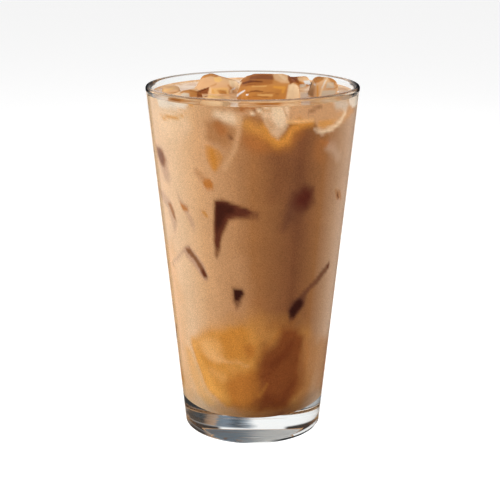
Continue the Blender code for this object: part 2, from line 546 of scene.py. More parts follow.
MAROON = colour(52, 20, 15)
OXBLOOD = colour(90, 44, 30)
WINE = colour(84, 34, 24)
DARK_BROWN = colour(104, 63, 44)
STRONG_AND_SHADED = colour(124, 77, 48)
RUST = colour(124, 65, 32)
DEEP_RUST = colour(108, 53, 26)
RUSSET = colour(168, 104, 55)
BROWN = colour(163, 110, 66)
ORANGE_BROWN = colour(180, 110, 45)
GOLDEN_BROWN = colour(197, 130, 54)
AMBER = colour(206, 143, 68)
BRIGHT_AMBER = colour(220, 150, 66)
GOLD = colour(231, 167, 85)
HONEY = colour(227, 176, 118)
TAN = colour(198, 150, 108)
MAUVE = colour(188, 150, 126)
MILKY = colour(209, 163, 119)
CREAM = colour(223, 189, 153)
PINK_CREAM = colour(231, 200, 166)
LOWER_CREAM = colour(224, 178, 130)
LIGHT_AMBER = colour(226, 172, 106)
WARM_TAN = colour(172, 124, 82)
PALE_GREY = colour(206, 190, 172)
PALE = colour(232, 204, 170)
STUDIO_WHITE_PAINTED = colour(228, 214, 198)
GREY_TAN = colour(172, 136, 106)
DULL_BROWN = colour(150, 101, 62)
PALE_GREY_TAN = colour(196, 166, 142)
SURFACE_AMBER = colour(204, 152, 102)
SURFACE_PALE = colour(222, 184, 144)
# the painted reflection on the coffee's underside, as the base shows the table
STREAK_BLUE = colour(150, 164, 176)
STREAK_PALE = colour(252, 252, 250)
STREAK_BROWN = colour(176, 128, 92)

# Tones round the drink at mid height: angle from the front, right is positive
# They hold painted light too: pale at the left, painted shade right of the middle, paler rim light at the
# right
ROUND_TONES_WITH_LIGHT = [(-180, MILKY), (-80, CREAM), (-50, CREAM), (-32, MILKY), (0, BROWN), (28, STRONG_AND_SHADED),
               (45, DULL_BROWN), (60, GREY_TAN), (76, PALE_GREY_TAN), (100, MILKY), (180, MILKY)]

# How bright the lamps light the drink at an angle: most where the key and the fill shine, less between
# them and behind. The tones are divided by it.
LIGHT_THERE = [(-72, 0.81), (-47, 0.97), (-20, 1.05), (-12, 1.01), (24, 0.79), (54, 0.94), (72, 0.86),
               (110, 0.80)]
print("the drink runs through", len(ROUND_TONES_WITH_LIGHT), "tones all round")

# %% [markdown]
# Each smudge has a tone, a strength, the softness of its edge in mm, and places in the photo, in pixels.
# Places with a third number, a half width in mm, make a stroke. Places without it are the outline of a
# patch. Broad smudges come first, and finer ones go over them, as in painting.

# %% The smudges, from broad to fine
SMUDGES = [
    # broad tones, with painted light: shade right of the middle, paler light at the left and right edges
    (STRONG_AND_SHADED, 0.65, 9, [(276, 150, 4), (278, 190, 4)]),
    (DARK_BROWN, 0.3, 9, [(296, 165, 3), (300, 235, 3)]),
    (TAN, 0.35, 9, [(236, 262, 3), (244, 312, 3)]),
    (RUSSET, 0.75, 6, [(246, 138, 2.5), (262, 146, 2.5)]),
    (RUSSET, 0.45, 5, [(319, 146, 2), (321, 160, 2)]),
    (PALE_GREY_TAN, 0.5, 5, [(331, 146, 2), (338, 156, 2)]),
    (PINK_CREAM, 0.45, 6, [(160, 110), (186, 108), (190, 128), (176, 146), (162, 136)]),
    (LOWER_CREAM, 0.75, 10, [(170, 252, 5), (178, 320, 6), (188, 388, 6)]),
    # settled coffee near the bottom
    (AMBER, 0.5, 9, [(196, 348), (207, 332), (226, 320), (250, 314), (284, 318), (308, 330), (316, 350),
     (311, 384), (299, 404), (262, 412), (236, 410), (220, 398), (206, 380), (198, 362)]),
    (AMBER, 0.85, 5, [(194, 340), (203, 333), (215, 330), (229, 326), (250, 327), (262, 340),
     (262, 375), (250, 402), (234, 402), (218, 388), (204, 368), (197, 352)]),
    (AMBER, 0.92, 1.8, [(192.5, 338), (200, 342), (212, 352), (225, 365), (238, 385), (238, 404),
     (228, 409), (221, 403), (212, 392), (205, 381), (200, 370), (196, 358), (192.5, 346)]),
    (GOLD, 0.9, 4, [(195, 345, 0.6), (199, 358, 1.6), (205, 374, 2.2), (213, 388, 2.4), (220, 397, 1.2)]),
    (HONEY, 0.75, 3.6, [(201, 343), (207, 342), (213, 347), (219, 354), (225, 361), (219, 363),
     (210, 359), (204, 353)]),
    (GOLDEN_BROWN, 0.85, 4, [(221, 336), (230, 327), (241, 325), (249, 332), (247, 346), (244, 358),
     (234, 360), (226, 356), (220, 346)]),
    (ORANGE_BROWN, 0.8, 3, [(243, 346), (250, 343), (256, 347), (254, 357), (246, 359)]),
    (HONEY, 0.45, 1.8, [(219, 360, 0.5), (228, 362, 0.5), (238, 362, 0.4), (247, 366, 0.3)]),
    (ORANGE_BROWN, 0.85, 5, [(226, 382), (236, 373), (250, 368), (262, 372), (260, 395), (256, 408),
     (240, 412), (230, 406)]),
    (RUST, 0.7, 7, [(252, 372), (264, 358), (272, 380), (266, 402), (252, 410)]),
    (RUST, 0.95, 5, [(283, 326), (299, 327), (303, 338), (301, 352), (299, 375), (297, 392), (289, 408),
     (270, 412), (257, 412), (257, 398), (264, 384), (260, 368), (265, 354), (275, 342)]),
    (DEEP_RUST, 0.75, 4, [(272, 367, 1.2), (281, 357, 1.5), (291, 343, 1.0)]),
    (DEEP_RUST, 0.75, 5, [(267, 398, 2.0), (283, 400, 2.2), (290, 384, 1.2)]),
    (DEEP_RUST, 0.6, 1.2, [(256, 379, 0.2), (265, 377, 0.3), (274, 371, 0.4), (281, 359, 0.3)]),
    (GOLDEN_BROWN, 0.45, 1.6, [(258, 396, 0.3), (264, 389, 0.4), (268, 384, 0.3)]),
    (ORANGE_BROWN, 0.5, 2.4, [(255, 364, 0.4), (263, 352, 0.6), (272, 340, 0.5), (281, 330, 0.3)]),
    (BROWN, 0.75, 4, [(303, 335), (314, 338), (318, 352), (313, 375), (306, 396), (300, 404),
     (300, 372)]),
    (RUSSET, 0.55, 3, [(306, 342, 0.5), (310, 352, 0.7), (306, 366, 0.6)]),
    (WARM_TAN, 0.85, 9, [(315, 338), (329, 338), (327, 360), (322, 390), (312, 392)]),
    (LIGHT_AMBER, 0.7, 4, [(189, 352, 2), (195, 374, 3), (201, 390, 3), (210, 402, 2)]),
    (LIGHT_AMBER, 0.5, 5, [(197, 344, 3), (206, 345, 4), (216, 347, 3)]),
    (LIGHT_AMBER, 0.35, 4, [(213, 372, 2), (222, 378, 2)]),
    (GOLDEN_BROWN, 0.2, 3, [(253, 372, 1.5), (256, 394, 2.0)]),
    (RUST, 0.45, 5, [(263, 345, 2), (262, 362, 3)]),
    (RUST, 0.4, 6, [(275, 324, 2), (291, 322, 2)]),
    (RUST, 0.55, 5, [(300, 340, 1.5), (302, 372, 2.5), (297, 394, 1.5)]),
    # the pale band under the surface, and the amber glow along its lower edge
    (TAN, 1.0, 2.2, [(238, 96), (240, 117), (256, 114), (264, 118), (272, 121), (290, 120), (300, 120),
     (314, 121), (320, 131), (332, 131), (345, 122), (354, 112), (356, 96)]),
    (ORANGE_BROWN, 0.6, 8, [(252, 130, 2.0), (266, 137, 2.5), (279, 143, 3.0), (290, 139, 2.5),
     (301, 128, 2.0)]),
    (BRIGHT_AMBER, 0.95, 5, [(262, 127, 0.8), (268, 134, 1.2), (278, 140, 1.6), (287, 137, 1.5),
     (292, 129, 1.2), (301, 123, 1.0), (311, 125, 0.8)]),
    (AMBER, 0.9, 6, [(240, 126, 1.2), (249, 126, 1.6), (257, 128, 1.2)]),
    (CREAM, 0.75, 1.8, [(262, 112), (290, 110), (289, 122), (285, 130), (278, 137), (270, 133),
     (264, 124)]),
    (PALE, 0.8, 2, [(271, 106), (289, 106), (288, 117), (282, 126), (276, 127), (273, 118)]),
    (TAN, 0.9, 3, [(267, 121, 0.9), (270, 125, 0.9)]),
    (HONEY, 0.85, 1.2, [(287, 120.5, 0.5), (299, 121.5, 0.7), (313, 121, 0.6)]),
    (PALE, 0.8, 1.6, [(315, 130.5, 0.4), (322, 132.3, 0.8), (330, 130.3, 0.9), (337, 125.5, 0.9),
     (342, 120, 0.9), (345.5, 113, 0.8)]),
    (AMBER, 0.75, 2, [(318, 121), (330, 120), (336, 121), (331, 126), (324, 128.5), (318, 127)]),
    (RUSSET, 0.65, 1.6, [(319, 140.5), (331, 139.5), (327, 146), (323, 146)]),
    (RUSSET, 0.6, 0.8, [(283.5, 105, 0.3), (285, 110, 0.4), (287.5, 116, 0.3)]),
    (STRONG_AND_SHADED, 0.7, 1.6, [(309, 113, 0.5), (314, 110, 0.7), (321, 106.5, 0.5)]),
    (RUSSET, 1.0, 1.2, [(237, 98), (267, 98), (264, 104), (252, 109), (240, 112)]),
    (STRONG_AND_SHADED, 0.4, 1.4, [(248, 103, 1.0), (258, 103, 1.0)]),
    (PALE, 0.6, 1.4, [(269, 103, 0.8), (273, 104, 0.8)]),
    (PALE_GREY, 0.75, 3, [(331, 100), (350, 100), (346, 112), (336, 109)]),
    (STRONG_AND_SHADED, 0.75, 0.5, [(250, 112.5, 0.3), (259, 108, 0.3), (266, 104, 0.3)]),
    (PALE, 0.9, 0.5, [(249, 115, 0.3), (259, 110.5, 0.35), (268, 106.5, 0.35), (270, 101, 0.35)]),
    # painted light: the white studio, as the clear wall above the coffee shows it at the left and the right
    (STUDIO_WHITE_PAINTED, 0.85, 1.2, [(157, 98), (187, 98), (188, 106), (176, 109), (159, 106)]),
    (STUDIO_WHITE_PAINTED, 0.85, 1.2, [(349, 92), (359, 91), (358, 103), (353, 108), (349, 103)]),
    # ice near the glass at the upper left
    (AMBER, 0.8, 0.8, [(188, 98), (193, 98), (193, 106), (189, 107)]),
    (AMBER, 0.8, 1, [(160, 115.5, 0.4), (164, 117.3, 0.8), (172, 117.8, 0.8), (181, 116.5, 0.5),
     (186, 113.5, 0.2)]),
    (PINK_CREAM, 0.85, 4, [(216, 115, 2.0), (226, 118, 2.6), (234, 121, 2.2)]),
    (MILKY, 0.85, 2.5, [(238.5, 116, 1.0), (238, 134, 0.8), (233, 150, 0.8), (224, 167, 0.8)]),
    (BROWN, 0.75, 4, [(204, 122), (216, 119), (226, 124), (232, 133), (232, 142), (224, 147),
     (214, 143), (206, 138)]),
    (RUSSET, 0.75, 3, [(216, 126, 1.5), (222, 131, 2.0)]),
    (DARK_BROWN, 0.95, 1.8, [(229.5, 137.5, 0.5), (231, 139, 0.5)]),
    (GOLDEN_BROWN, 0.6, 1.4, [(205.5, 145.5), (209, 146.8), (219, 150.5), (222.5, 157), (220.5, 165),
     (215, 171.8), (211.3, 170), (207.5, 163.5), (205, 153.5)]),
    (GOLDEN_BROWN, 0.9, 2.5, [(211, 150, 0.8), (213, 160, 1.6), (214, 167, 0.8)]),
    (BROWN, 0.5, 3, [(197, 172, 1.2), (205, 181, 1.5)]),
    (ORANGE_BROWN, 0.9, 1.2, [(205, 180), (210.5, 180), (213.8, 186), (213, 189.8), (207, 189.3),
     (203, 185)]),
    (MAUVE, 0.75, 3, [(155.5, 143), (161, 146), (166, 156), (169, 170), (170, 184), (166, 180),
     (160, 165), (157, 153)]),
    (BROWN, 0.85, 2.5, [(156, 145), (162, 149), (166, 160), (165, 168), (161, 165), (158, 155)]),
    (STRONG_AND_SHADED, 0.95, 1.8, [(157, 146), (160, 148), (163, 153), (164.5, 160), (163.5, 166), (161.5, 164),
     (159, 157)]),
    # streaks at the left
    (MAUVE, 0.65, 2, [(157, 182), (163, 190), (171, 201), (175, 212), (177, 228), (175, 234),
     (172, 222), (168, 208), (161, 195)]),
    (BROWN, 0.95, 1, [(168, 202), (171, 203), (174.5, 212), (176, 221), (173.8, 219), (171, 211)]),
    (MAUVE, 0.6, 2, [(176, 191), (181, 199), (187, 205), (190, 214), (195, 228), (194, 233), (189, 222),
     (184, 210), (178, 199)]),
    (ORANGE_BROWN, 0.85, 1, [(180, 202), (184, 205), (188, 207), (188, 211), (184, 211), (181, 206)]),
    (GOLDEN_BROWN, 0.75, 1, [(201, 210), (204.5, 211), (207.5, 216.5), (206, 218), (202.5, 214.5)]),
    # the dark hook
    (STRONG_AND_SHADED, 0.85, 1.6, [(213.5, 200), (221, 199), (241, 206), (259, 212.5), (258, 219), (245, 220.5),
     (236, 220), (230, 222), (226, 228), (222.5, 238), (219, 254), (216, 259), (214, 254), (213, 230)]),
    (OXBLOOD, 0.95, 1, [(215, 201), (220, 200.5), (230, 204), (240, 207), (250, 211), (253, 214),
     (245, 216.5), (236, 217), (229, 220), (225, 226), (221.5, 235), (219.5, 246), (216.5, 250),
     (215, 244), (214.5, 222)]),
    (MAROON, 0.75, 2.0, [(215.5, 203), (222, 203), (233, 207.5), (235, 212), (226, 217), (221, 225),
     (217, 232), (215.5, 220)]),
    # the bent stroke at the lower left
    (MAUVE, 0.75, 1.6, [(184, 247), (180, 252), (174, 260), (172.5, 265), (176, 262), (181, 256),
     (186, 252)]),
    (MAUVE, 0.75, 1.4, [(183, 246), (189, 244), (195, 252), (203, 263), (209, 277), (207, 281),
     (202, 277), (195, 267), (187, 258), (184, 252)]),
    (STRONG_AND_SHADED, 0.9, 0.9, [(185.5, 247), (189.5, 246.5), (195, 254.5), (201.5, 264), (207.5, 275.5),
     (208, 279), (204.5, 278), (200, 270), (194, 259.5), (188.5, 253.5), (185.5, 250)]),
    (OXBLOOD, 0.95, 1.2, [(202, 267), (207.5, 275.5), (207.5, 279), (204.5, 278), (201.5, 272)]),
    (BROWN, 0.6, 1, [(172.5, 261.5, 0.4), (174, 266, 0.4)]),
    # marks at the right
    (DARK_BROWN, 0.9, 7, [(304, 199, 3.8), (294, 209, 3.2), (284, 224, 1.6)]),
    (WINE, 0.92, 6, [(296, 198), (303, 190), (311, 191), (313, 200), (306, 209), (298, 210), (295, 205)]),
    (BROWN, 0.7, 1.5, [(334.5, 189.5), (340.5, 189.5), (341.5, 199.5), (336.5, 200)]),
    (OXBLOOD, 0.9, 1, [(337.3, 193.5, 0.5), (338.3, 197, 0.5)]),
    (DARK_BROWN, 0.85, 1.4, [(329, 262), (329.5, 266), (325, 273), (318, 282), (310, 290), (303, 298),
     (300, 302), (297, 299), (303, 291), (311, 283), (319, 274), (325, 266)]),
    (DARK_BROWN, 0.9, 2.4, [(286, 312), (291, 302), (300, 295), (305, 297), (303, 306), (296, 317),
     (290, 321)]),
    (MAROON, 0.97, 2.0, [(289, 317.5), (288, 311), (293.5, 302.5), (299, 298.5), (303, 301.5),
     (299.5, 310), (293.5, 318.5)]),
    (OXBLOOD, 0.6, 0.8, [(327, 264), (329.5, 262), (328.5, 268), (326, 270)]),
    # the small dark heart
    (DARK_BROWN, 0.75, 2, [(231.5, 288), (242, 288.5), (245, 295), (241, 304), (237, 309), (233, 301)]),
    (MAROON, 0.97, 1, [(233, 288.5), (237, 290), (241.5, 290), (243.3, 294), (240, 299.5), (236, 302),
     (234, 297)]),
]
print("smudges at the front:", len(SMUDGES))

# %% [markdown]
# The photo shows the front only. The back gets the same smudges in mirror image, painted light and shade
# among them, and each side a few more, placed by their angle from the front and their height in mm.

# %% More smudges for the sides
SIDE_SMUDGES = [
    (BROWN, 0.7, 4, [(-96, 118, 2.0), (-90, 108, 1.5)]),
    (OXBLOOD, 0.9, 1.6, [(-100, 84, 1.2), (-94, 92, 0.8), (-86, 90, 0.4)]),
    (GOLDEN_BROWN, 0.8, 3, [(-88, 62, 2.0), (-93, 54, 1.2)]),
    (DARK_BROWN, 0.85, 1.8, [(-80, 46, 0.6), (-86, 38, 1.1)]),
    (AMBER, 0.85, 5, [(-92, 26, 5.0), (-84, 20, 4.0)]),
    (RUSSET, 0.75, 4, [(88, 122, 2.0), (96, 116, 2.5)]),
    (OXBLOOD, 0.9, 1.6, [(84, 100, 0.4), (92, 96, 1.2), (90, 86, 0.7)]),
    (MAUVE, 0.8, 2, [(104, 78, 0.8), (97, 68, 1.0)]),
    (DARK_BROWN, 0.85, 1.8, [(86, 58, 1.2), (92, 50, 0.6)]),
    (ORANGE_BROWN, 0.8, 5, [(90, 28, 4.0), (98, 20, 4.5)]),
]
# The same seed each time, because noise_vector starts from a random place otherwise
WAVER_SEED = 2
mathutils.noise.seed_set(WAVER_SEED)
WAVER_MM = 0.35
WAVER_SIZE = 0.004
FINE_SCALE = 2.7
FINE_SHARE = 0.5
SWIRL_SHARE = 0.32
CLOUD_SIZE = 0.010
CLOUD_STRENGTH = 0.05
MOTTLE_SIZE = 0.0022
MOTTLE_STRENGTH = 0.035
# The rounded corner at the bottom gets less light, so its tones are lifted. Heights in millimetres.
CORNER_HEIGHTS = (10.5, 16.0)
CORNER_LIFT = (1.35, 1.0)


def stroke_mask(places, points, softness):
    """1 on a stroke through the points, 0 away from it, with a soft edge, for every place."""
    fades = []
    for (*first, first_width), (*last, last_width) in zip(points, points[1:]):
        along = np.subtract(last, first)
        share = np.clip((places - first) @ along / (along @ along), 0, 1)
        away = np.linalg.norm(places - first - share[:, None] * along, axis=1)
        width = first_width + (last_width - first_width) * share
        fades.append((width + softness / 2 - away) / softness)
    return np.max(fades, axis=0)


def patch_mask(places, corners, softness):
    """1 inside an outline, 0 outside, with a soft edge, for every place."""
    inside = np.zeros(len(places), bool)
    nearest = np.full(len(places), np.inf)
    for first, last in zip(corners, corners[1:] + corners[:1]):
        along = np.subtract(last, first)
        share = np.clip((places - first) @ along / (along @ along), 0, 1)
        nearest = np.minimum(nearest, np.linalg.norm(places - first - share[:, None] * along, axis=1))
        between = (places[:, 1] > first[1]) != (places[:, 1] > last[1])
        crossing = first[0] + along[0] * (places[:, 1] - first[1]) / (along[1] or 1e-9)
        inside ^= between & (places[:, 0] < crossing)
    return np.where(inside, nearest, -nearest) / softness + 0.5


def smudge_mask(places, points, softness, locate):
    """The mask of a stroke or a patch, whichever the points make."""
    if len(points[0]) == 3:
        fade = stroke_mask(places, [(*locate(*point[:2]), point[2]) for point in points], softness)
    else:
        fade = patch_mask(places, [locate(*point) for point in points], softness)
    fade = np.clip(fade, 0, 1)
    return fade * fade * (3 - 2 * fade)


def wavering(mesh, size):
    """For every point of the mesh, two numbers that wander about zero, with a finer wander on top."""
    rows = []
    for corner in mesh.vertices:
        drift = mathutils.noise.noise_vector(corner.co / size)
        fine = mathutils.noise.noise_vector(corner.co / size * FINE_SCALE)
        rows.append((drift.x + FINE_SHARE * fine.x, drift.y + FINE_SHARE * fine.y))
    return np.array(rows)


def between_tones(values, table):
    """Blends from one tone to the next. The table gives a tone for each of some values."""
    steps, tones = zip(*table)
    return np.stack([np.interp(values, steps, channel) for channel in zip(*tones)], axis=1)


def keep_paint(mesh, name, shade):
    """Keeps a colour for every point under a name, where a shader can find it."""
    paint = mesh.attributes.new(name, "FLOAT_COLOR", "POINT")
    paint.data.foreach_set("color", np.hstack([shade, np.ones((len(shade), 1))]).ravel())


def paint_side(mesh):
    """Paints the tones and the smudges, painted light and shade among them, on the drink's points."""
    spots = np.array([corner.co[:] for corner in mesh.vertices])
    turns = np.degrees(np.arctan2(spots[:, 0], -spots[:, 1]))
    radius = np.hypot(spots[:, 0], spots[:, 1])
    front = np.abs(turns) < 90
    mirrored = np.where(front, turns, np.sign(turns) * 180 - turns)
    drift = wavering(mesh, WAVER_SIZE) * WAVER_MM
    swirl = wavering(mesh, CLOUD_SIZE)
    height = spots[:, 2] * 1000
    shown = np.stack([np.radians(mirrored) * radius * 1000, height], axis=1) + drift
    around = np.stack([np.radians(turns) * radius * 1000, height], axis=1) + drift
    shade = between_tones(turns, ROUND_TONES_WITH_LIGHT)
    for smudges, places, locate in ((SMUDGES, shown, seen_at), (SIDE_SMUDGES, around, on_side)):
        for tone, strength, softness, points in smudges:
            swirled = places + swirl * softness * SWIRL_SHARE
            amount = strength * smudge_mask(swirled, points, softness, locate)[:, None]
            shade = shade * (1 - amount) + np.array(tone) * amount
    shade *= 1 + CLOUD_STRENGTH * swirl[:, :1] + MOTTLE_STRENGTH * wavering(mesh, MOTTLE_SIZE)[:, 1:]
    shade *= np.interp(height, CORNER_HEIGHTS, CORNER_LIFT)[:, None]
    shade /= np.interp(turns, *zip(*LIGHT_THERE))[:, None]
    keep_paint(mesh, "coffee_paint", shade)


paint_side(drink.data)
print("painted", len(drink.data.vertices), "points of the drink")

# %% [markdown]
# The side is dull, because we see it through glass that it touches. A fine noise lightens and darkens its
# paint like grain. Its underside carries a painted reflection of the pale table that the base shows, broken
# into streaks. The surface on top is wet, so it has a soft shine.

# %% The coffee's materials
GRAIN_SCALE = 2600.0
GRAIN_DETAIL = 2.0
GRAIN_LIMITS = (0.3, 0.7, 0.80, 1.22)  # the noise from the first to the second gives the last two
STREAK_SCALE = (60.0, 420.0, 1.0)
STREAK_WANDER = 0.030
PALE_FROM = (0.010, 0.020)
BROWN_STREAKS = (0.50, 0.58, 0.0, 0.7)
UNDERSIDE_TOP = (FLOOR_HEIGHT - 0.0001, FLOOR_HEIGHT + 0.0002)
SURFACE_CLOUDS = 160.0
SURFACE_CHANGE = (0.35, 0.65)
WALL_LEAN = 0.6  # a face of the wall looks up or down less than this


def coffee_side():
    """The coffee seen through the wall: its paint with a fine grain, and painted reflection streaks
    underneath.
    """
    material, tree, shader = new_material("milky_coffee_side")
    place, x, y, z = where(tree)
    grain = fade(tree, noise(tree, place, GRAIN_SCALE, GRAIN_DETAIL), *GRAIN_LIMITS, easing="LINEAR")
    grained = tree.nodes.new("ShaderNodeVectorMath")
    grained.operation = "SCALE"
    join(tree, paint_of(tree, "coffee_paint"), grained.inputs[0])
    join(tree, grain, grained.inputs["Scale"])
    streak = noise(tree, place, 1.0, 3.0, STREAK_SCALE)
    pale = fade(tree, maths(tree, "MULTIPLY_ADD", streak, STREAK_WANDER, x), *PALE_FROM)
    brown = product(tree, fade(tree, streak, *BROWN_STREAKS), maths(tree, "SUBTRACT", 1.0, pale))
    streaks = blend(tree, brown, blend(tree, pale, STREAK_BLUE, STREAK_PALE), STREAK_BROWN)
    under = fade(tree, z, *UNDERSIDE_TOP, 1.0, 0.0)
    join(tree, blend(tree, under, grained.outputs["Vector"], streaks), shader.inputs["Base Color"])
    set_values(shader, {"Roughness": 0.5, "Specular IOR Level": 0.0})
    return material


def coffee_surface():
    """The coffee's wet surface and the hollows round the ice."""
    material, tree, shader = new_material("milky_coffee_surface")
    place, x, y, z = where(tree)
    share = fade(tree, noise(tree, place, SURFACE_CLOUDS, 4.0), *SURFACE_CHANGE)
    join(tree, blend(tree, share, SURFACE_AMBER, SURFACE_PALE), shader.inputs["Base Color"])
    set_values(shader, {"Roughness": 0.15, "IOR": 1.34, "Specular IOR Level": 0.3})
    return material


dress(drink, coffee_side(), coffee_surface())
for face in drink.data.polygons:
    middle = face.center
    at_wall = abs(middle.xy.length - inner_radius(middle.z) - REACH) < NEAR
    on_wall = at_wall and abs(face.normal.z) < WALL_LEAN
    face.material_index = 0 if on_wall or middle.z < FLOOR_HEIGHT + FLOOR_ROUNDING else 1
print("faces on the wall:", sum(face.material_index == 0 for face in drink.data.polygons))

# %% [markdown]
# ## The ice's finish
# Melting ice in coffee is part clear and part tinted: some faces send us the brown from below, others the
# pale surface or the studio. That play of bands, facets and glints is painted, as the photo shows it, and
# the shader lets only a little light through. Sides that the photo doesn't show get bands of the same
# tones. Here a smudge goes by what the photo shows at each point of the ice, with no bending of the view.

# %% The tones in the ice
PEACH = colour(222, 176, 130)
PALE_PEACH = colour(238, 204, 162)
BEIGE_GREY = colour(208, 192, 170)
# the painted glints
ICE_GLINT_WHITE = colour(240, 240, 238)
ICE_GREY = colour(222, 226, 226)
BLUE_BLACK = colour(48, 50, 55)
ICE_DARK = colour(104, 50, 24)
ICE_BROWN = colour(134, 74, 38)
ICE_RUSSET = colour(165, 100, 50)
ICE_AMBER = colour(188, 124, 62)
ICE_GLOW = colour(218, 150, 62)
ICE_GOLD = colour(236, 188, 118)

